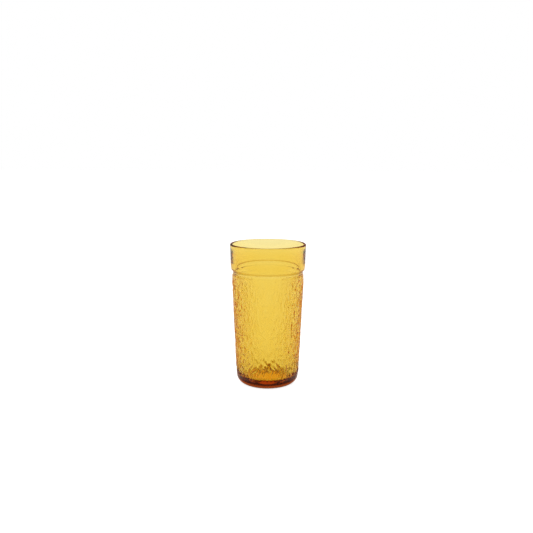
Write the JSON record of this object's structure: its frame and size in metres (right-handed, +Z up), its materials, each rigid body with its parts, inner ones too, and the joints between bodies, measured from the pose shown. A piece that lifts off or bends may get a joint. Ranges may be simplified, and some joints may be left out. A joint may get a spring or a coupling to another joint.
{
  "type": "drinking glass",
  "caption": "Tall pressed amber glass tumbler: plain rim band over a tapered bark-textured body, rounded heel, thick floor and shallow hollow underside.",
  "frame": {"origin": "middle of the underside, on the plane of the ring that the glass stands on", "axes": "+Z up the axis of the glass, from the table to the lip; the glass is round, so X and Y are free"},
  "size_m": [0.0762, 0.0762, 0.143],
  "materials": {
    "amber_glass": "clear amber pressed glass, fire-polished, with a bark relief on the body"
  },
  "bodies": {
    "root": {"tumbler": "amber_glass"}
  },
  "joints": []
}
